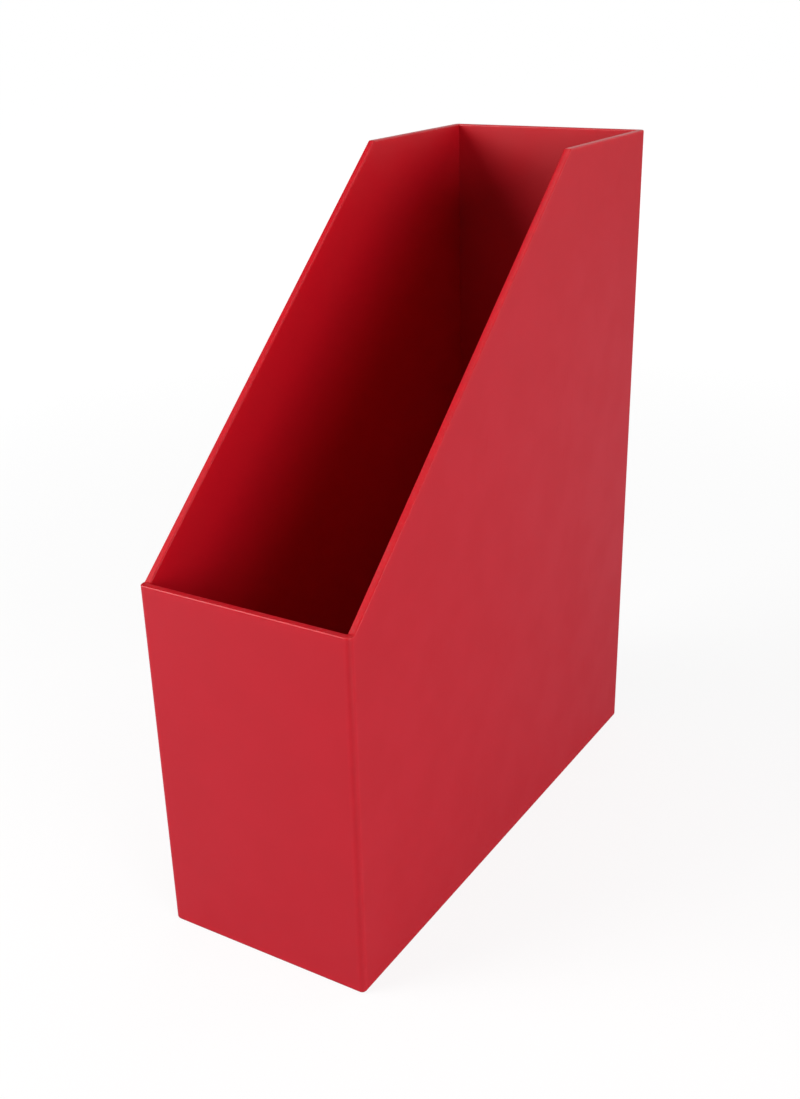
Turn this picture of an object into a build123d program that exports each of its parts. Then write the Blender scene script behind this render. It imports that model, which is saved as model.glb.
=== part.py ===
from build123d import *
import math
import os

# Magazine file holder: an open tray with a low front, a tall back and two sides
# whose upper edges slope from one to the other. Five glued panels, in millimetres.
# +Z is up, the front faces -Y, and the origin is on the ground under the middle.

# Overall size, measured outside at the upper edges
WIDTH = 100.0
DEPTH = 260.0
HEIGHT = 310.0
FRONT_HEIGHT = 160.5
TOP_RUN = 82.0  # level stretch of each side's upper edge, from the back
FRONT_RUN = 3.6  # level stretch at the front, before the slope starts

# Panels
WALL = 3.2
FLOOR = 3.0
LEAN = 1.1  # each wall leans out this far between the ground and HEIGHT

# Rounded edges
CORNER_RADIUS = 2.2  # upright outside corners
GROUND_RADIUS = 1.5  # outside edge at the ground
RIM_RADIUS = 0.6  # both edges of every upper edge
BEND_RADIUS = 1.0  # both ends of the slope, seen from the side

# Glued joints: a tongue on one panel sits in a groove of the next
TONGUE_LENGTH = 1.0
TONGUE_THICKNESS = 1.0
BASE_TONGUE_HEIGHT = 1.0  # underside of the base's tongue
TONGUE_STOP = 6.0  # upright tongues end this far below the upper edge

# Blanks and cuts reach this far past the finished holder
PAST = 10.0


def lean_at(z):
    """How far inside its place at HEIGHT an outside face is, at the height z."""
    return LEAN * (1 - z / HEIGHT)


def leaning_block(side_inset, end_inset, low=0.0, high=HEIGHT + PAST):
    """Block that leans as the walls do, drawn in from the sides and from the ends."""
    sections = []
    for z in (low, high):
        across = WIDTH - 2 * (side_inset + lean_at(z))
        along = DEPTH - 2 * (end_inset + lean_at(z))
        sections.append(Plane.XY.offset(z) * Rectangle(across, along))
    return loft(sections, ruled=True)


def space_above():
    """Everything above the upper edges, as one prism across the holder."""
    front = lean_at(FRONT_HEIGHT) - DEPTH / 2
    back = DEPTH / 2
    slope_foot = (front + FRONT_RUN, FRONT_HEIGHT)
    shoulder = (back - TOP_RUN, HEIGHT)
    outline = make_face(
        Polyline(
            (front - PAST, FRONT_HEIGHT),
            slope_foot,
            shoulder,
            (back + PAST, HEIGHT),
            (back + PAST, HEIGHT + 2 * PAST),
            (front - PAST, HEIGHT + 2 * PAST),
            close=True,
        )
    )
    for bend in (slope_foot, shoulder):
        corner = outline.vertices().sort_by_distance(bend)[0]
        outline = fillet(corner, BEND_RADIUS)
    return extrude(Plane.YZ * outline, WIDTH / 2 + PAST, both=True)


def upper_edges(walls):
    """Long edges of the walls' upper faces, without the lines between those faces."""
    upward = [f for f in walls.faces() if f.normal_at().Z > math.cos(math.radians(60))]
    edges = [edge for face in upward for edge in face.edges()]
    return [edge for edge in edges if sum(edge.is_same(other) for other in edges) == 1]


def four_walls():
    """The walls as one ring, with all their rounded edges, before it is parted."""
    outside = leaning_block(0, 0)
    upright = outside.edges().filter_by(lambda e: abs(e.tangent_at().Z) > math.cos(math.radians(5)))
    outside = fillet(upright, CORNER_RADIUS)
    outside = fillet(outside.faces().sort_by(Axis.Z)[0].edges(), GROUND_RADIUS)
    ring = outside - leaning_block(WALL, WALL) - space_above()
    return fillet(upper_edges(ring), RIM_RADIUS)


def upright_tongue(end, top):
    """Strip along one end, whose two margins are the tongues that the sides take."""
    inset = WALL - TONGUE_LENGTH
    strip = leaning_block(inset, WALL - TONGUE_THICKNESS, FLOOR, top)
    strip -= leaning_block(inset, WALL)
    return strip.solids().sort_by(Axis.Y)[0 if end == "front" else -1]


def base_tongue():
    """Thin plate whose rim is the tongue that all four walls take."""
    inset = WALL - TONGUE_LENGTH
    return leaning_block(inset, inset, BASE_TONGUE_HEIGHT, BASE_TONGUE_HEIGHT + TONGUE_THICKNESS)


def side_panels(walls):
    """Left and right panels: they run the full depth and carry the rounded corners."""
    sides = walls - leaning_block(WALL, -PAST)
    for end, top in (("front", FRONT_HEIGHT), ("back", HEIGHT)):
        sides -= upright_tongue(end, top - TONGUE_STOP)
    sides -= base_tongue()
    return sides.solids().sort_by(Axis.X)


def end_panels(walls):
    """Front and back panels: they stand between the sides."""
    ends = (walls & leaning_block(WALL, -PAST)).solids().sort_by(Axis.Y)
    front = ends[0] + upright_tongue("front", FRONT_HEIGHT - TONGUE_STOP) - base_tongue()
    back = ends[-1] + upright_tongue("back", HEIGHT - TONGUE_STOP) - base_tongue()
    return front, back


def base_panel():
    """Floor of the holder, flush with the walls' lower edges."""
    return leaning_block(WALL, WALL, 0, FLOOR) + base_tongue()


def build():
    """Every panel in its place, under its own name."""
    walls = four_walls()
    left, right = side_panels(walls)
    front, back = end_panels(walls)
    return {
        "left_side_panel": left,
        "right_side_panel": right,
        "front_panel": front,
        "back_panel": back,
        "base_panel": base_panel(),
    }


os.makedirs("parts", exist_ok=True)
for name, panel in build().items():
    export_step(panel, f"parts/{name}.step")
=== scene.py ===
# %% [markdown]
# # A red plastic magazine file
#
# The object is a desk file for magazines: a low front, a tall back, and two sides whose upper
# edges slope between them. It is made of five glued panels of satin red plastic. There is
# hardly anything on it to hide behind, so the picture stands or falls by three things: true
# outlines, softly rounded edges that catch the light, and a plastic that isn't a flat colour.
#
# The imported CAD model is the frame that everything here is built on. It is loaded first, and
# its box is kept, so that the finished picture model can be compared with it at the end.

import bpy
import math
from mathutils import Matrix, Vector


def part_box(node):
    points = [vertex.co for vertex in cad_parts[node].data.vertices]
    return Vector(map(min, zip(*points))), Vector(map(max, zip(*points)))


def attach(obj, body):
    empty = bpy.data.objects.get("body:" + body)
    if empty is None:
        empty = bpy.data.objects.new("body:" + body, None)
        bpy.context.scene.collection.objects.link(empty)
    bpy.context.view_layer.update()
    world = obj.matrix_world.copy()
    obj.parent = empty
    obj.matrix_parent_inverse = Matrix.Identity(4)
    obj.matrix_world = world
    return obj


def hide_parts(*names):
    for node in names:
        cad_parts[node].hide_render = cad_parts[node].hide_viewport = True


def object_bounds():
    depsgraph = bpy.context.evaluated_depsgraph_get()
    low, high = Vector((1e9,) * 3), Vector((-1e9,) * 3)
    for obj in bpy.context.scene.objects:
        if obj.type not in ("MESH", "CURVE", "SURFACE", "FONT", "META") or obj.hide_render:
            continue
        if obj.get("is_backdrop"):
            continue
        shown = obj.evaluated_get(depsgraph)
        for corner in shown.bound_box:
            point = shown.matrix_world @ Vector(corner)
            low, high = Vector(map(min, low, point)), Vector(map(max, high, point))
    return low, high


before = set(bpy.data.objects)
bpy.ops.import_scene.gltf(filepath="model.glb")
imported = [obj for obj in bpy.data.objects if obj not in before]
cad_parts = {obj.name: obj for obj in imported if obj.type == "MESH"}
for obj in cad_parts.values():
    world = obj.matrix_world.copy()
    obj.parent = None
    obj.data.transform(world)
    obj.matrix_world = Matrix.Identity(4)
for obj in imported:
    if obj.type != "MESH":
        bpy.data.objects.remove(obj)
cad_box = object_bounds()
scene = bpy.context.scene
print("CAD nodes:", sorted(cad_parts))

# %% [markdown]
# ## Sizes
#
# Blender works in metres and a holder is drawn in millimetres, so one factor turns the one
# into the other. The heights are read from the frame. The rest can't be read from a box, so
# it is named here: how thick the walls are, how far they lean, and how round their edges are.
# Each wall leans outwards a little, as moulded and glued boxes do, so the widths hold at the
# full height only.

# %% Sizes
MM = 0.001

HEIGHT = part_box("back_panel")[1].z
FRONT_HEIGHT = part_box("front_panel")[1].z
WIDTH = 100.0 * MM
DEPTH = 260.0 * MM
TOP_RUN = 82.0 * MM
FRONT_RUN = 3.6 * MM

WALL = 3.2 * MM
LEAN = 1.1 * MM
CORNER_RADIUS = 2.2 * MM
RIM_RADIUS = 0.6 * MM
GROUND_RADIUS = 1.5 * MM
HAIRLINE = 0.2 * MM  # rounding of the wall's inside edge on the ground

print(f"height {HEIGHT / MM:.1f} mm at the back and {FRONT_HEIGHT / MM:.1f} mm at the front")

# %% [markdown]
# ## The camera
#
# Perspective is what a viewer compares first. The camera stands a little over half a metre
# away, to the right of the front and above it, so the front and the right side show, and the
# inside is seen past the sloping edges. A slight roll keeps the uprights from looking
# too proper. Depth of field stays off: the whole object is sharp.

# %% Camera
CAMERA_AIM = Vector((0.0, -14.29, 142.39)) * MM
CAMERA_STANDS = Vector((289.42, -480.58, 373.82)) * MM
CAMERA_ROLL = math.radians(1.431)
CAMERA_LENS = 43.74


def make_camera():
    """A camera that looks at its aim, with the picture's top turned slightly to the right."""
    data = bpy.data.cameras.new("camera")
    data.lens = CAMERA_LENS
    data.clip_start = 10 * MM
    camera = bpy.data.objects.new("camera", data)
    scene.collection.objects.link(camera)
    towards = CAMERA_AIM - CAMERA_STANDS
    turned = towards.to_track_quat("-Z", "Y").to_matrix().to_4x4()
    rolled = Matrix.Rotation(-CAMERA_ROLL, 4, "Z")
    camera.matrix_world = Matrix.Translation(CAMERA_STANDS) @ turned @ rolled
    scene.camera = camera
    return towards.length


print(f"the camera stands {make_camera() / MM:.0f} mm from its aim")

# %% [markdown]
# ## Writing node trees in code
#
# Both the shapes and the plastic are node trees. Wired by hand in code they are long and hard
# to read, so two helpers keep each node on one line. `put` adds a node, and each of its inputs
# is given either a value or another node's output, which is then linked. `calc` is the same
# for a Math node, and gives back its result.

# %% Helpers for node trees
def put(tree, kind, inputs=None, **settings):
    """Add a node to a tree. Inputs go by name or number: a value is set, a socket is linked."""
    node = tree.nodes.new(kind)
    for name, value in settings.items():
        setattr(node, name, value)
    for key, value in (inputs or {}).items():
        if isinstance(value, bpy.types.NodeSocket):
            tree.links.new(value, node.inputs[key])
        else:
            node.inputs[key].default_value = value
    return node


def calc(tree, operation, *values, clamp=False):
    """A Math node's result."""
    node = put(tree, "ShaderNodeMath", dict(enumerate(values)), operation=operation)
    node.use_clamp = clamp
    return node.outputs[0]


def new_tree(name, kind, inputs, outputs):
    """A node group with named sockets, given as name: type. Returns it with both its ends."""
    tree = bpy.data.node_groups.new(name, kind)
    for in_out, sockets in (("INPUT", inputs), ("OUTPUT", outputs)):
        for label, socket_type in sockets.items():
            tree.interface.new_socket(label, in_out=in_out, socket_type="NodeSocket" + socket_type)
    given = tree.nodes.new("NodeGroupInput").outputs
    results = tree.nodes.new("NodeGroupOutput").inputs
    return tree, given, results


print("helpers ready: put, calc, new_tree")

# %% [markdown]
# ## How high is the rim?
#
# The upper edges of all four walls follow one rule: seen from the side, the rim is level over
# the front, climbs in a straight line, and is level again towards the back. Where the line
# bends, the mould leaves it slightly rounded.
#
# Map Range draws the straight line from the foot of the slope to its shoulder and past both.
# A Smooth Maximum with the front's height and a Smooth Minimum with the full height then cut
# it to length, and round the two bends as they do so. The rule is a node group, because it is
# needed in more than one place: at a point of the rim, and just before and after it, to find
# how steep the rim is there.

# %% The rim's height
RIM_SIZES = ("Front Height", "Height", "Slope Foot", "Shoulder", "Bend")
BEND = 0.34 * MM
SLOPE_FOOT = LEAN * (1 - FRONT_HEIGHT / HEIGHT) - DEPTH / 2 + FRONT_RUN
SHOULDER = DEPTH / 2 - TOP_RUN


def rim_rule():
    """Node group: the height of the rim at a place along the holder, front to back."""
    inputs = dict.fromkeys(("Along",) + RIM_SIZES, "Float")
    tree, given, results = new_tree("rim_height", "GeometryNodeTree", inputs, {"Rim": "Float"})
    slope = put(tree, "ShaderNodeMapRange", {
        "Value": given["Along"],
        "From Min": given["Slope Foot"],
        "From Max": given["Shoulder"],
        "To Min": given["Front Height"],
        "To Max": given["Height"],
    }, clamp=False)
    above_front = calc(tree, "SMOOTH_MAX", slope.outputs[0], given["Front Height"], given["Bend"])
    rim = calc(tree, "SMOOTH_MIN", above_front, given["Height"], given["Bend"])
    tree.links.new(rim, results["Rim"])
    return tree


rim_height = rim_rule()
steepness = math.degrees(math.atan2(HEIGHT - FRONT_HEIGHT, SHOULDER - SLOPE_FOOT))
print(f"the slope climbs at {steepness:.1f} degrees")

# %% [markdown]
# ## One section for every wall
#
# A wall has the same section wherever it is cut: a straight inner face, two small roundings at
# the rim, a straight outer face, and a larger rounding where it meets the ground. That
# section is drawn once, as a mesh with a single face.
#
# Each point is stored as its distance from the inner face and its height. Points near the
# ground are measured up from the ground; the others hang from the rim, however high that is.
# The rows are close together at the roundings and just beyond them, so that the smooth
# shading of a rounding doesn't leak into the flat wall. `edge` says how worn a row gets: 1 on
# the roundings, and nothing a few millimetres away.

# %% The walls' section
ARC_STEPS = 6
ROWS_BEYOND = {0.15: 0.8, 1.0: 0.4, 3.0: 0.12, 8.0: 0.0}


def arc(across, up, radius, first, last):
    """Points of a rounding about a centre, from the first to the last angle in degrees."""
    angles = [math.radians(first + (last - first) * i / ARC_STEPS) for i in range(ARC_STEPS + 1)]
    return [(across + radius * math.cos(a), up + radius * math.sin(a), 1.0) for a in angles]


def straight(across, start, way):
    """Rows of a straight face that lead away from a rounding, up (1) or down (-1)."""
    return [(across, start + way * gap * MM, edge) for gap, edge in ROWS_BEYOND.items()]


def draw_section():
    """The section as a one-faced mesh, with what each of its rows hangs from and how it wears."""
    ground_out = arc(WALL - GROUND_RADIUS, GROUND_RADIUS, GROUND_RADIUS, -90, 0)
    ground_out += straight(WALL, GROUND_RADIUS, 1)
    rim_out = straight(WALL, -RIM_RADIUS, -1)[::-1]
    rim_out += arc(WALL - RIM_RADIUS, -RIM_RADIUS, RIM_RADIUS, 0, 90)
    rim_in = arc(RIM_RADIUS, -RIM_RADIUS, RIM_RADIUS, 90, 180)
    rim_in += straight(0.0, -RIM_RADIUS, -1)
    ground_in = straight(0.0, HAIRLINE, 1)[::-1] + arc(HAIRLINE, HAIRLINE, HAIRLINE, 180, 270)
    rows = ground_out + rim_out + rim_in + ground_in
    hangs = [0.0] * len(ground_out) + [1.0] * len(rim_out + rim_in) + [0.0] * len(ground_in)

    mesh = bpy.data.meshes.new("wall_section")
    mesh.from_pydata([(across, up, 0) for across, up, _ in rows], [], [range(len(rows))])
    mesh.attributes.new("hangs", "FLOAT", "POINT").data.foreach_set("value", hangs)
    mesh.attributes.new("edge", "FLOAT", "POINT").data.foreach_set("value", [row[2] for row in rows])
    return bpy.data.objects.new("wall_section", mesh)


wall_section = draw_section()
print("the section has", len(wall_section.data.vertices), "rows")

# %% [markdown]
# ## Stations round the holder
#
# Now the section has to be carried round the holder. Curve to Mesh would do it in one node,
# but it keeps a section square to its path, so it pinches a thick wall at a sharp inside
# corner. Instead the path is a row of stations. Each is a point on the inside edge of the
# rim and an arrow that points outwards there. At a corner the stations all stand on the same
# point. Their arrows turn, and are longest at the diagonal, so that the section's outer face
# follows a rounded corner. That gives what the real walls have: a sharp corner inside, and a
# rounded one outside. A station also says how worn it is, because hands rub an upright corner
# less than they rub a rim.
#
# The two side panels carry the rounded corners, and the front and the back stand between
# them. All four follow the same way round, so their faces all come out the same way.

# %% Stations
CORNER_STEPS = 16
RUN_STEP = 8.0 * MM
BEND_STEP = 0.1 * MM
BESIDE = [0.15 * MM, 1.0 * MM, 3.0 * MM]
CORNER_WEAR = 0.4
SEAM_WEAR = 0.2

INSIDE_X = WIDTH / 2 - WALL
INSIDE_Y = DEPTH / 2 - WALL
FRONT_Y = LEAN * (1 - FRONT_HEIGHT / HEIGHT) - INSIDE_Y


def spread(start, end, step):
    """Even places from start to end, both included, about a step apart."""
    count = max(1, round(abs(end - start) / step))
    return [start + (end - start) * i / count for i in range(count + 1)]


def corner(x, y, first):
    """Stations on one inside corner, whose outer ends go round the outside corner."""
    turns = (math.radians(first), math.radians(first + 90))
    one, other = (Vector((math.cos(turn), math.sin(turn))) for turn in turns)
    flat = 1 - CORNER_RADIUS / WALL
    beside = flat - BESIDE[0] / WALL
    ends = [(one, SEAM_WEAR), (one + other * beside, CORNER_WEAR)]
    for angle in spread(0, math.radians(90), math.radians(90) / CORNER_STEPS):
        rounded = (one * math.cos(angle) + other * math.sin(angle)) * (1 - flat)
        ends.append(((one + other) * flat + rounded, CORNER_WEAR))
    ends += [(other + one * beside, CORNER_WEAR), (other, SEAM_WEAR)]
    return [(x, y, out.x, out.y, worn) for out, worn in ends]


def across(y, out):
    """Stations along the front or the back, from the holder's left to its right."""
    beside = [gap - INSIDE_X for gap in BESIDE]
    places = [-INSIDE_X] + beside + spread(-INSIDE_X + RUN_STEP, INSIDE_X - RUN_STEP, RUN_STEP)
    places += [-x for x in reversed(beside)] + [INSIDE_X]
    return [(x, y, 0.0, out, SEAM_WEAR * (abs(x) == INSIDE_X)) for x in places]


def along(x, out):
    """Stations along a side, from the front to the back, close together at both bends."""
    foot = spread(FRONT_Y + BEND_STEP, SLOPE_FOOT + MM, BEND_STEP)
    shoulder = spread(SHOULDER - MM, SHOULDER + MM, BEND_STEP)
    slope = spread(foot[-1], shoulder[0], RUN_STEP)[1:-1]
    level = spread(shoulder[-1], INSIDE_Y - BESIDE[-1], RUN_STEP)[1:]
    places = foot + slope + shoulder + level + [INSIDE_Y - gap for gap in BESIDE[1::-1]]
    return [(x, y, out, 0.0, 0.0) for y in places]


PANELS = {
    "front_panel": across(FRONT_Y, -1.0),
    "right_side_panel": (
        corner(INSIDE_X, FRONT_Y, -90) + along(INSIDE_X, 1.0) + corner(INSIDE_X, INSIDE_Y, 0)
    ),
    "back_panel": across(INSIDE_Y, 1.0)[::-1],
    "left_side_panel": (
        corner(-INSIDE_X, INSIDE_Y, 90)
        + along(-INSIDE_X, -1.0)[::-1]
        + corner(-INSIDE_X, FRONT_Y, 180)
    ),
}
for name, stations in PANELS.items():
    print(name, "has", len(stations), "stations")

# %% [markdown]
# ## The wall's node tree
#
# The tree takes the stations as its geometry and the section as an object. A grid with a
# column for each station and a row for each point of the section is the skin of the panel,
# and the section's own face, twice, closes its two ends. Every point then knows its station
# and its row, and one Set Position puts it in place by rule:
#
# - a row's height is its own above the ground, or the rim's less what it hangs below it;
# - where the rim slopes, hanging rows hang lower, so that its rounding stays round;
# - across, it is the station plus the row's distance outwards;
# - a wall leans, so the lower a point is, the nearer it is drawn to the middle.
#
# Merge by Distance sews the seams up. It also takes away the faces that had no area, at the
# inside corners. Real edges are marked sharp by their angle, and all else is shaded smooth.

# %% The wall tree, part one: the parts of a panel
SEW_WITHIN = 0.001 * MM
SHARP_FROM = math.radians(40)
SIZES = {
    "Height": HEIGHT,
    "Front Height": FRONT_HEIGHT,
    "Slope Foot": SLOPE_FOOT,
    "Shoulder": SHOULDER,
    "Bend": BEND,
    "Lean": LEAN,
    "Inside X": INSIDE_X,
    "Inside Y": INSIDE_Y,
}


def remember(tree, geometry, station, row):
    """Store on each point which station and which row of the section it belongs to."""
    for name, value in (("station", station), ("row", row)):
        stored = put(tree, "GeometryNodeStoreNamedAttribute", {
            "Geometry": geometry, "Name": name, "Value": value,
        }, data_type="INT", domain="POINT")
        geometry = stored.outputs[0]
    return geometry


def skin_and_ends(tree, stations, section):
    """A grid for the panel's skin, and the section's face at both of its ends."""
    count = put(tree, "GeometryNodeAttributeDomainSize", {0: stations}).outputs[0]
    rows = put(tree, "GeometryNodeAttributeDomainSize", {0: section}).outputs[0]
    index = tree.nodes.new("GeometryNodeInputIndex").outputs[0]
    round_rows = calc(tree, "ADD", rows, 1)
    grid = put(tree, "GeometryNodeMeshGrid", {"Vertices X": count, "Vertices Y": round_rows})
    column = calc(tree, "FLOOR", calc(tree, "DIVIDE", calc(tree, "ADD", index, 0.5), round_rows))
    turn = calc(tree, "SUBTRACT", index, calc(tree, "MULTIPLY", column, round_rows))
    row = calc(tree, "FLOORED_MODULO", turn, rows)
    last = calc(tree, "SUBTRACT", count, 1)
    flipped = put(tree, "GeometryNodeFlipFaces", {0: section}).outputs[0]
    joined = tree.nodes.new("GeometryNodeJoinGeometry")
    for part in (
        remember(tree, grid.outputs[0], column, row),
        remember(tree, section, 0, index),
        remember(tree, flipped, last, index),
    ):
        tree.links.new(part, joined.inputs[0])
    return joined.outputs[0]


print("named sizes:", ", ".join(SIZES))

# %% The wall tree, part two: the rule for a point's place
def looked_up(tree, geometry, name, data_type, place):
    """The value that another geometry's point has at a place in its order."""
    value = put(tree, "GeometryNodeInputNamedAttribute", {"Name": name}, data_type=data_type)
    return put(tree, "GeometryNodeSampleIndex", {
        "Geometry": geometry, "Value": value.outputs[0], "Index": place,
    }, data_type=data_type, domain="POINT").outputs[0]


def split(tree, vector):
    """The three numbers of a vector."""
    return put(tree, "ShaderNodeSeparateXYZ", {0: vector}).outputs


def rim_at(tree, given, place):
    """The rim's height at a place from front to back."""
    sizes = {name: given[name] for name in RIM_SIZES}
    return put(tree, "GeometryNodeGroup", {"Along": place, **sizes}, node_tree=rim_height).outputs[0]


def slant(tree, given, y):
    """How much longer the slope is than its run: 1 where the rim is level."""
    near = 0.1 * MM
    climb = calc(
        tree, "SUBTRACT", rim_at(tree, given, calc(tree, "ADD", y, near)),
        rim_at(tree, given, calc(tree, "SUBTRACT", y, near)),
    )
    steep = calc(tree, "DIVIDE", climb, 2 * near)
    return calc(tree, "SQRT", calc(tree, "MULTIPLY_ADD", steep, steep, 1))


def lean_in(tree, given, z):
    """How far a wall is drawn in at a height."""
    rest = calc(tree, "SUBTRACT", 1, calc(tree, "DIVIDE", z, given["Height"]))
    return calc(tree, "MULTIPLY", given["Lean"], rest)


def drawn_in(tree, place, shift, half):
    """A place across the holder, drawn towards the middle in proportion."""
    share = calc(tree, "SUBTRACT", 1, calc(tree, "DIVIDE", shift, half))
    return calc(tree, "MULTIPLY", place, share)


print("the rim rule is used three times: at a point, before it and after it")


# %% The wall tree, part three: putting it together
def wall_tree():
    """Geometry Nodes tree that carries the section round a panel's stations."""
    inputs = {"Geometry": "Geometry", "Section": "Object", "Material": "Material"}
    inputs |= dict.fromkeys(SIZES, "Float")
    tree, given, results = new_tree("wall_panel", "GeometryNodeTree", inputs, {"Geometry": "Geometry"})
    stations = given["Geometry"]
    section = put(tree, "GeometryNodeObjectInfo", {"Object": given["Section"]}).outputs["Geometry"]
    panel = skin_and_ends(tree, stations, section)

    own_station, own_row = (
        put(tree, "GeometryNodeInputNamedAttribute", {"Name": name}, data_type="INT").outputs[0]
        for name in ("station", "row")
    )
    inner = split(tree, looked_up(tree, stations, "position", "FLOAT_VECTOR", own_station))
    out = split(tree, looked_up(tree, stations, "outward", "FLOAT_VECTOR", own_station))
    turning = looked_up(tree, stations, "edge", "FLOAT", own_station)
    drawn = split(tree, looked_up(tree, section, "position", "FLOAT_VECTOR", own_row))
    hangs = looked_up(tree, section, "hangs", "FLOAT", own_row)
    wear = looked_up(tree, section, "edge", "FLOAT", own_row)

    rim = rim_at(tree, given, inner["Y"])
    hung = calc(tree, "MULTIPLY_ADD", drawn["Y"], slant(tree, given, inner["Y"]), rim)
    z = calc(tree, "ADD", calc(tree, "MULTIPLY", hangs, hung),
             calc(tree, "MULTIPLY", calc(tree, "SUBTRACT", 1, hangs), drawn["Y"]))
    lean = lean_in(tree, given, z)
    below_rim = calc(tree, "SUBTRACT", lean, lean_in(tree, given, rim))
    inner_x = drawn_in(tree, inner["X"], lean, given["Inside X"])
    inner_y = drawn_in(tree, inner["Y"], below_rim, given["Inside Y"])
    x = calc(tree, "MULTIPLY_ADD", out["X"], drawn["X"], inner_x)
    y = calc(tree, "MULTIPLY_ADD", out["Y"], drawn["X"], inner_y)

    place = put(tree, "ShaderNodeCombineXYZ", {"X": x, "Y": y, "Z": z}).outputs[0]
    worn = put(tree, "GeometryNodeStoreNamedAttribute", {
        "Geometry": panel, "Name": "edge", "Value": calc(tree, "MAXIMUM", wear, turning),
    }, data_type="FLOAT", domain="POINT")
    placed = put(tree, "GeometryNodeSetPosition", {"Geometry": worn.outputs[0], "Position": place})
    tree.links.new(finished(tree, placed.outputs[0], given["Material"]), results["Geometry"])
    return tree


def finished(tree, geometry, material):
    """Sew the seams up, mark sharp edges, drop the building's numbers, and set the material."""
    sewn = put(tree, "GeometryNodeMergeByDistance", {"Geometry": geometry, "Distance": SEW_WITHIN})
    smooth = put(tree, "GeometryNodeSetShadeSmooth", {
        "Geometry": sewn.outputs[0], "Shade Smooth": True,
    })
    angle = tree.nodes.new("GeometryNodeInputMeshEdgeAngle").outputs["Unsigned Angle"]
    sharp = calc(tree, "GREATER_THAN", angle, SHARP_FROM)
    creased = put(tree, "GeometryNodeSetShadeSmooth", {
        "Geometry": smooth.outputs[0], "Selection": sharp, "Shade Smooth": False,
    }, domain="EDGE")
    geometry = creased.outputs[0]
    for name in ("station", "row", "hangs"):
        removed = put(tree, "GeometryNodeRemoveAttribute", {"Geometry": geometry, "Name": name})
        geometry = removed.outputs[0]
    realized = put(tree, "GeometryNodeRealizeInstances", {"Geometry": geometry})
    return put(tree, "GeometryNodeSetMaterial", {
        "Geometry": realized.outputs[0], "Material": material,
    }).outputs[0]


wall_panel = wall_tree()
print("the wall tree has", len(wall_panel.nodes), "nodes")

# %% [markdown]
# ## What makes plastic look like plastic
#
# The panels are dyed through and through, with a satin skin from a finely textured mould. A
# flat colour with one roughness would look like a drawing of it. A few weak effects on top of
# each other give it away as real: a grain that is finer than half a millimetre, faint clouds
# where the plastic flowed, rubbed edges, hair scratches from paper, and a little dust on what
# faces up. Each is hardly visible alone, and should be.
#
# The walls and the base use the same effects in different strengths. So each effect is a node
# group, built once, that puts out a mask or a height. All of them read Object coordinates.
# The pieces sit at the origin with their place in their mesh, so the pattern runs on from one
# panel to the next, as light does over a well-made joint.

# %% Effects, part one: grain and clouds
def noise(tree, place, size, detail=2.0):
    """Noise from 0 to 1 whose blotches are about as large as size."""
    scale = calc(tree, "DIVIDE", 1, size)
    inputs = {"Vector": place, "Scale": scale, "Detail": detail}
    return put(tree, "ShaderNodeTexNoise", inputs).outputs[0]


def ramp(tree, value, low, high):
    """0 below low, 1 above high, and a soft change between them."""
    return put(tree, "ShaderNodeMapRange", {
        "Value": value, "From Min": low, "From Max": high,
    }, interpolation_type="SMOOTHSTEP").outputs[0]


def satin_grain():
    """Node group: the height of the mould's fine texture, in a size that is given."""
    tree, given, results = new_tree(
        "satin_grain", "ShaderNodeTree", {"Place": "Vector", "Size": "Float"}, {"Height": "Float"}
    )
    fine = noise(tree, given["Place"], given["Size"], 3.0)
    tree.links.new(fine, results["Height"])
    return tree


def flow_clouds():
    """Node group: broad soft clouds, for the colour and the gloss."""
    tree, given, results = new_tree(
        "flow_clouds", "ShaderNodeTree", {"Place": "Vector", "Size": "Float"}, {"Cloud": "Float"}
    )
    broad = noise(tree, given["Place"], given["Size"], 2.0)
    tree.links.new(ramp(tree, broad, 0.3, 0.7), results["Cloud"])
    return tree


GRAIN = satin_grain()
CLOUDS = flow_clouds()
print("effects:", GRAIN.name, CLOUDS.name)


# %% Effects, part two: wear, scratches and dust
def edge_wear():
    """Node group: where edges are rubbed, broken up so that they aren't rubbed evenly."""
    inputs = {"Place": "Vector", "Edge": "Float", "Size": "Float"}
    tree, given, results = new_tree("edge_wear", "ShaderNodeTree", inputs, {"Worn": "Float"})
    breaks = ramp(tree, noise(tree, given["Place"], given["Size"], 4.0), 0.35, 0.65)
    uneven = calc(tree, "MULTIPLY_ADD", breaks, 0.6, 0.4)
    tree.links.new(calc(tree, "MULTIPLY", given["Edge"], uneven), results["Worn"])
    return tree


def hair_scratches():
    """Node group: fine upright scratches, in patches, as papers leave when they slide in."""
    inputs = {"Place": "Vector", "Width": "Float", "Length": "Float", "Patch": "Float"}
    tree, given, results = new_tree("hair_scratches", "ShaderNodeTree", inputs, {"Scratches": "Float"})
    wide = calc(tree, "DIVIDE", 1, given["Width"])
    long = calc(tree, "DIVIDE", 1, given["Length"])
    stretch = put(tree, "ShaderNodeCombineXYZ", {"X": wide, "Y": wide, "Z": long}).outputs[0]
    drawn = put(tree, "ShaderNodeVectorMath", {0: given["Place"], 1: stretch}, operation="MULTIPLY")
    lines = ramp(tree, noise(tree, drawn.outputs[0], 1.0, 1.0), 0.64, 0.72)
    patches = ramp(tree, noise(tree, given["Place"], given["Patch"], 1.0), 0.5, 0.7)
    tree.links.new(calc(tree, "MULTIPLY", lines, patches), results["Scratches"])
    return tree


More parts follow.
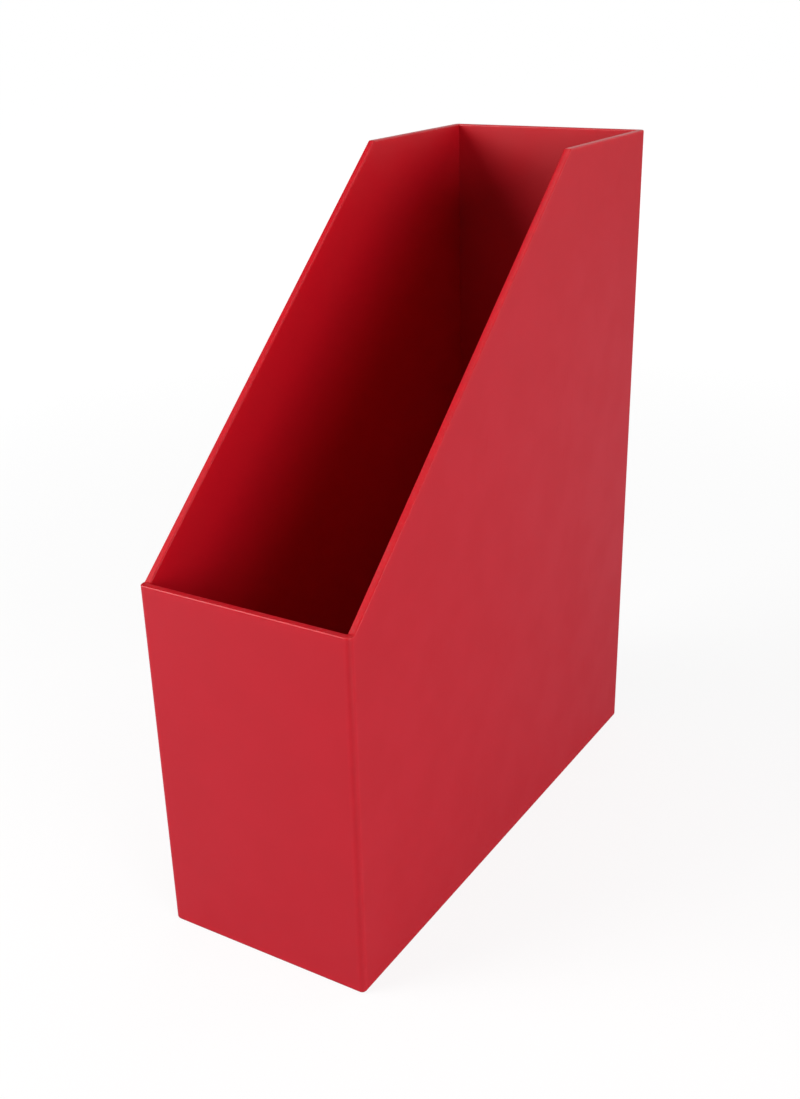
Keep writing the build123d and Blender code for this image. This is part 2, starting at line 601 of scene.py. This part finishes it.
def settled_dust():
    """Node group: specks of dust on what faces up."""
    inputs = {"Place": "Vector", "Facing Up": "Float", "Size": "Float"}
    tree, given, results = new_tree("settled_dust", "ShaderNodeTree", inputs, {"Dust": "Float"})
    level = ramp(tree, given["Facing Up"], 0.6, 0.98)
    specks = ramp(tree, noise(tree, given["Place"], given["Size"], 3.0), 0.5, 0.75)
    tree.links.new(calc(tree, "MULTIPLY", level, specks), results["Dust"])
    return tree


WEAR = edge_wear()
SCRATCHES = hair_scratches()
DUST = settled_dust()
print("effects:", WEAR.name, SCRATCHES.name, DUST.name)

# %% [markdown]
# ## Two mixes of the same red
#
# The colour is a strong red dye with next to no green or blue in it. It is darker than it
# seems: a good part of what the eye sees on the outer faces is the pale studio, mirrored very
# softly by the satin skin, and that is what turns the red slightly pink there. Inside the
# holder the walls only mirror each other, so the red is deep and pure.
#
# The refraction index and the like are the same all over, so they are set on the shader's own
# sockets. The effects feed only the colour, the roughness, and the height of a Bump node.

# %% The plastic
RED = (0.51, 0.0035, 0.012, 1.0)
FLOW_RED = (0.48, 0.003, 0.010, 1.0)
RUBBED_RED = (0.60, 0.003, 0.011, 1.0)
DUST_GREY = (0.50, 0.42, 0.40, 1.0)
PLASTIC_IOR = 1.46


def effect(tree, group, values):
    """The result of an effect's node group in a material."""
    return put(tree, "ShaderNodeGroup", values, node_tree=group).outputs[0]


def over(tree, share, below, above):
    """One colour laid over another by a share from 0 to 1."""
    return put(tree, "ShaderNodeMix", {0: share, 6: below, 7: above}, data_type="RGBA").outputs[2]


def mix_plastic(name, roughness, rubbed, scratched, dusty):
    """A material of satin red plastic, with strengths for its rubbing, scratches and dust."""
    material = bpy.data.materials.new(name)
    material.use_nodes = True
    tree = material.node_tree
    shader = tree.nodes["Principled BSDF"]
    shader.inputs["IOR"].default_value = PLASTIC_IOR

    place = tree.nodes.new("ShaderNodeTexCoord").outputs["Object"]
    edge = put(tree, "ShaderNodeAttribute", attribute_name="edge").outputs["Fac"]
    normal = tree.nodes.new("ShaderNodeNewGeometry").outputs["Normal"]
    facing_up = put(tree, "ShaderNodeSeparateXYZ", {0: normal}).outputs["Z"]

    grain = effect(tree, GRAIN, {"Place": place, "Size": 0.45 * MM})
    waves = effect(tree, CLOUDS, {"Place": place, "Size": 70 * MM})
    cloud = effect(tree, CLOUDS, {"Place": place, "Size": 26 * MM})
    worn = effect(tree, WEAR, {"Place": place, "Edge": edge, "Size": 5 * MM})
    hairs = effect(tree, SCRATCHES, {
        "Place": place, "Width": 0.3 * MM, "Length": 14 * MM, "Patch": 30 * MM,
    })
    dust = effect(tree, DUST, {"Place": place, "Facing Up": facing_up, "Size": 0.9 * MM})

    colour = over(tree, calc(tree, "MULTIPLY", cloud, 0.5), RED, FLOW_RED)
    colour = over(tree, calc(tree, "MULTIPLY", worn, rubbed), colour, RUBBED_RED)
    colour = over(tree, calc(tree, "MULTIPLY", dust, dusty), colour, DUST_GREY)
    tree.links.new(colour, shader.inputs["Base Color"])

    rough = calc(tree, "MULTIPLY_ADD", cloud, 0.05, roughness)
    rough = calc(tree, "MULTIPLY_ADD", grain, 0.06, rough)
    rough = calc(tree, "MULTIPLY_ADD", worn, -0.03, rough)
    rough = calc(tree, "MULTIPLY_ADD", hairs, scratched, rough)
    rough = calc(tree, "MULTIPLY_ADD", dust, dusty, rough)
    tree.links.new(rough, shader.inputs["Roughness"])

    relief = calc(tree, "MULTIPLY", grain, 0.006)
    relief = calc(tree, "MULTIPLY_ADD", waves, 0.15, relief)
    relief = calc(tree, "MULTIPLY_ADD", hairs, -0.01 * scratched, relief)
    bump = put(tree, "ShaderNodeBump", {"Height": relief, "Distance": MM})
    tree.links.new(bump.outputs[0], shader.inputs["Normal"])
    return material


wall_plastic = mix_plastic("wall_plastic", roughness=0.34, rubbed=0.8, scratched=0.10, dusty=0.10)
base_plastic = mix_plastic("base_plastic", roughness=0.38, rubbed=0.0, scratched=0.25, dusty=0.12)
print("materials:", wall_plastic.name, base_plastic.name)

# %% [markdown]
# ## Making the four walls
#
# Each panel starts as its stations: a mesh of loose points. The modifier's inputs are set by
# their sockets' identifiers. The result is turned into a plain mesh, and the modifier goes,
# so the finished panel depends on nothing. It then stands for the CAD node of its name,
# which was cut into flat facets and would show them along its roundings.

# %% Build the wall panels
def station_points(name, stations):
    """A panel's stations as loose points that know which way is outwards."""
    mesh = bpy.data.meshes.new(name + "_stations")
    mesh.from_pydata([(x, y, 0) for x, y, *_ in stations], [], [])
    outward = [number for _, _, out_x, out_y, _ in stations for number in (out_x, out_y, 0.0)]
    mesh.attributes.new("outward", "FLOAT_VECTOR", "POINT").data.foreach_set("vector", outward)
    worn = [row[4] for row in stations]
    mesh.attributes.new("edge", "FLOAT", "POINT").data.foreach_set("value", worn)
    return bpy.data.objects.new(name + "_stations", mesh)


def plain_mesh(builder, name):
    """The evaluated result of an object's modifiers as a new object with a plain mesh."""
    graph = bpy.context.evaluated_depsgraph_get()
    mesh = bpy.data.meshes.new_from_object(builder.evaluated_get(graph), depsgraph=graph)
    mesh.name = name
    piece = bpy.data.objects.new(name, mesh)
    scene.collection.objects.link(piece)
    return piece


def build_wall(node, stations):
    """One wall panel, in the place of its CAD node."""
    builder = station_points(node, stations)
    scene.collection.objects.link(builder)
    modifier = builder.modifiers.new("wall_panel", "NODES")
    modifier.node_group = wall_panel
    values = {"Section": wall_section, "Material": wall_plastic, **SIZES}
    for item in wall_panel.interface.items_tree:
        if item.in_out == "INPUT" and item.name in values:
            modifier[item.identifier] = values[item.name]
    piece = plain_mesh(builder, node.replace("panel", "wall"))
    bpy.data.objects.remove(builder)
    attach(piece, "root")
    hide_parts(node)
    return piece


walls = {node: build_wall(node, stations) for node, stations in PANELS.items()}
for node, piece in walls.items():
    print(node, "->", len(piece.data.vertices), "vertices,", len(piece.data.polygons), "faces")

# %% [markdown]
# ## The base
#
# The base is a flat sheet between the walls, flush with their lower edges. A flat sheet needs
# no smoother mesh than the CAD gives it, so its node stays and only gets its plastic. The
# tongue round its rim comes with it. The walls above are made without the groove that it
# fits, so the tongue lies inside their plastic, where a glued joint hides it.

# %% Finish the base
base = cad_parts["base_panel"]
base.data.materials.clear()
base.data.materials.append(base_plastic)
print("base panel:", base.data.materials[0].name)

# %% [markdown]
# ## Soft boxes
#
# The light is a plain studio's. The main soft box stands to the left of the front, not too
# high: it brightens the front, the rims and the back wall's inside. Where it stands matters.
# A little higher, and the sloping rims would mirror it towards the camera and turn pink. A
# lower one fills the front. Two low ones on the right light the long side, and reach the
# left-hand wall's inside over the rim, but not deep, so the holder's inside soon falls into
# dark red. A weak one overhead lifts the rims. Behind stands a wide, dim screen: the level
# rims mirror it as a thin pale line, which a small bright box would burn to white. A last
# one, behind on the right, is mirrored softly by the top of the long side.
#
# Each is a disc that faces the middle of the holder, so only its direction, its distance, its
# width and its power need to be given. The camera doesn't see the boxes themselves. The view
# transform is Standard, because a product picture wants the red that the plastic has, not a
# film's.

# %% Lights
LIGHT_CENTRE = Vector((0.0, 0.0, 150.0)) * MM
SOFT_BOXES = {
    # name: (degrees round from the front, degrees up, metres away, metres wide, watts)
    "main": (-38, 29, 1.6, 0.8, 15.3),
    "front_fill": (-56, 13, 1.6, 0.85, 12.0),
    "right_front": (62, 12, 1.6, 0.85, 13.5),
    "right_side": (90, 12, 1.6, 0.85, 7.0),
    "overhead": (0, 90, 1.6, 1.2, 6.0),
    "screen_behind": (-165, 26, 2.6, 2.6, 12.0),
    "behind_right": (140, 18, 1.8, 1.2, 6.0),
}


def soft_box(name, turn, up, distance, width, watts):
    """A disc-shaped soft box that faces the middle of the holder."""
    data = bpy.data.lights.new(name, "AREA")
    data.shape = "DISK"
    data.size = width
    data.energy = watts
    lamp = bpy.data.objects.new(name, data)
    scene.collection.objects.link(lamp)
    turn, up = math.radians(turn), math.radians(up)
    away = Vector((math.sin(turn) * math.cos(up), -math.cos(turn) * math.cos(up), math.sin(up)))
    facing = (-away).to_track_quat("-Z", "Y").to_matrix().to_4x4()
    lamp.matrix_world = Matrix.Translation(LIGHT_CENTRE + away * distance) @ facing
    lamp.visible_camera = False


for name, values in SOFT_BOXES.items():
    soft_box(name, *values)
scene.view_settings.view_transform = "Standard"
print("soft boxes:", ", ".join(SOFT_BOXES))

# %% [markdown]
# ## The floor and what lies beyond it
#
# In a studio, a white background has lamps of its own, so that it comes out white while the
# object on it is lit as it should be. Here that takes no lamps. The Light Path node tells
# whether the camera itself is looking: what it sees of the floor is mostly a glow of its own,
# with a share of real light left in, so that the holder still stands in a soft shadow. Light
# that bounces off the floor, or is mirrored in the plastic, finds a plain, cool grey floor.
# The world does the same: pale to the camera, and dark to all else, so only the boxes light
# the holder.

# %% Floor and world
NEAR_GLOW = 0.87
FAR_GLOW = 1.0
PAPER_GREY = (0.46, 0.49, 0.57, 1.0)
FLOOR_HALF = 100.0


def to_the_camera(tree, seen, otherwise, output):
    """Show the camera one shader, and all other rays another."""
    looking = tree.nodes.new("ShaderNodeLightPath").outputs["Is Camera Ray"]
    mix = put(tree, "ShaderNodeMixShader", {0: looking, 1: otherwise, 2: seen})
    tree.links.new(mix.outputs[0], output)


def floor_paper():
    """Material: grey paper that the camera sees as brightly lit."""
    material = bpy.data.materials.new("floor_paper")
    material.use_nodes = True
    tree = material.node_tree
    grey = tree.nodes["Principled BSDF"]
    grey.inputs["Base Color"].default_value = PAPER_GREY
    grey.inputs["Roughness"].default_value = 1.0
    grey.inputs["Specular IOR Level"].default_value = 0.0
    place = tree.nodes.new("ShaderNodeTexCoord").outputs["Object"]
    distance = put(tree, "ShaderNodeVectorMath", {0: place}, operation="LENGTH").outputs["Value"]
    brightness = put(tree, "ShaderNodeMapRange", {
        "Value": distance, "From Min": 0.3, "From Max": 1.6, "To Min": NEAR_GLOW, "To Max": FAR_GLOW,
    }, interpolation_type="SMOOTHSTEP").outputs[0]
    glow = put(tree, "ShaderNodeEmission", {"Strength": brightness})
    share = put(tree, "ShaderNodeBsdfDiffuse", {"Color": (0.13, 0.13, 0.13, 1.0)})
    lit = put(tree, "ShaderNodeAddShader", {0: glow.outputs[0], 1: share.outputs[0]})
    output = tree.nodes["Material Output"].inputs["Surface"]
    to_the_camera(tree, lit.outputs[0], grey.outputs[0], output)
    return material


def lay_floor():
    """A floor that reaches the horizon."""
    mesh = bpy.data.meshes.new("floor")
    ends = ((-1, -1), (1, -1), (1, 1), (-1, 1))
    mesh.from_pydata([(x * FLOOR_HALF, y * FLOOR_HALF, 0.0) for x, y in ends], [], [(0, 1, 2, 3)])
    mesh.materials.append(floor_paper())
    floor = bpy.data.objects.new("floor", mesh)
    scene.collection.objects.link(floor)
    floor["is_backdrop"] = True


def pale_world():
    """A world that only the camera sees."""
    world = bpy.data.worlds.new("studio")
    world.use_nodes = True
    tree = world.node_tree
    dark = tree.nodes["Background"]
    dark.inputs["Strength"].default_value = 0.0
    pale = put(tree, "ShaderNodeBackground", {"Color": (1.0, 1.0, 1.0, 1.0), "Strength": FAR_GLOW})
    output = tree.nodes["World Output"].inputs["Surface"]
    to_the_camera(tree, pale.outputs[0], dark.outputs[0], output)
    scene.world = world


lay_floor()
pale_world()
print(f"the background glows from {NEAR_GLOW} near the holder to {FAR_GLOW} far away")

# %% [markdown]
# ## Is it still the same size?
#
# This measures how far the picture model's box differs from the CAD model's. The
# picture model may not grow past the CAD model.

# %% Measure and finish
picture_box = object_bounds()
grown = max(abs(a - b) for one, two in zip(cad_box, picture_box) for a, b in zip(one, two))
print(f"the picture model's box is within {grown / MM:.3f} mm of the CAD model's")
